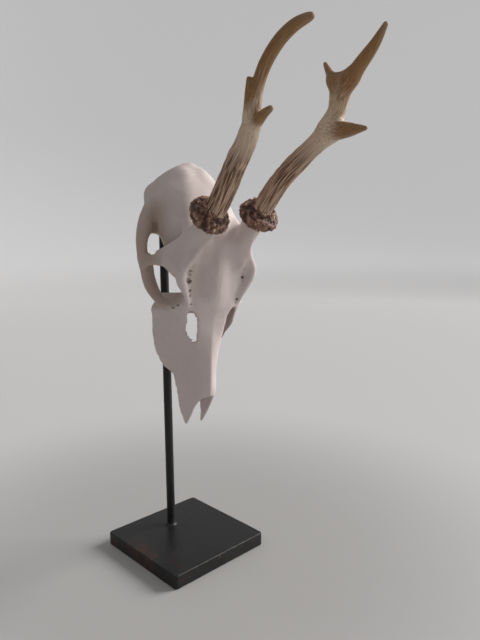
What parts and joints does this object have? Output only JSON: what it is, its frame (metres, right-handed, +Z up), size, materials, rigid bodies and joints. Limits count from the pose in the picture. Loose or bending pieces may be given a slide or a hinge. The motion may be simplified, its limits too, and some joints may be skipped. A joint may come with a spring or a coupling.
{
  "type": "roe deer skull on a stand",
  "caption": "Roe buck skull with forked antlers and knobbly burrs, lower jaw and palate removed, held nose down on a bent steel rod over a square steel base plate.",
  "frame": {"origin": "centre of the base plate's underside", "axes": "+Z up along the rod, -Y the way the forehead faces, +X the deer's left"},
  "size_m": [0.1157, 0.2495, 0.4021],
  "materials": {
    "bone": "bleached, slightly chalky bone",
    "antler": "grooved brown antler with pale worn tips",
    "steel": "blackened steel, satin"
  },
  "bodies": {
    "root": {"base_plate": "steel", "support_rod": "steel", "support_arm": "steel", "braincase": "bone", "forehead": "bone", "cheek_arch_right": "bone", "cheek_arch_left": "bone", "nasal_bones": "bone", "maxilla_right": "bone", "maxilla_left": "bone", "premaxilla_right": "bone", "premaxilla_left": "bone", "antler_right_burr": "antler", "antler_right_beam": "antler", "antler_right_front_tine": "antler", "antler_right_rear_tine": "antler", "antler_right_top_tine": "antler", "antler_left_burr": "antler", "antler_left_beam": "antler", "antler_left_front_tine": "antler", "antler_left_rear_tine": "antler", "antler_left_top_tine": "antler"}
  },
  "joints": []
}
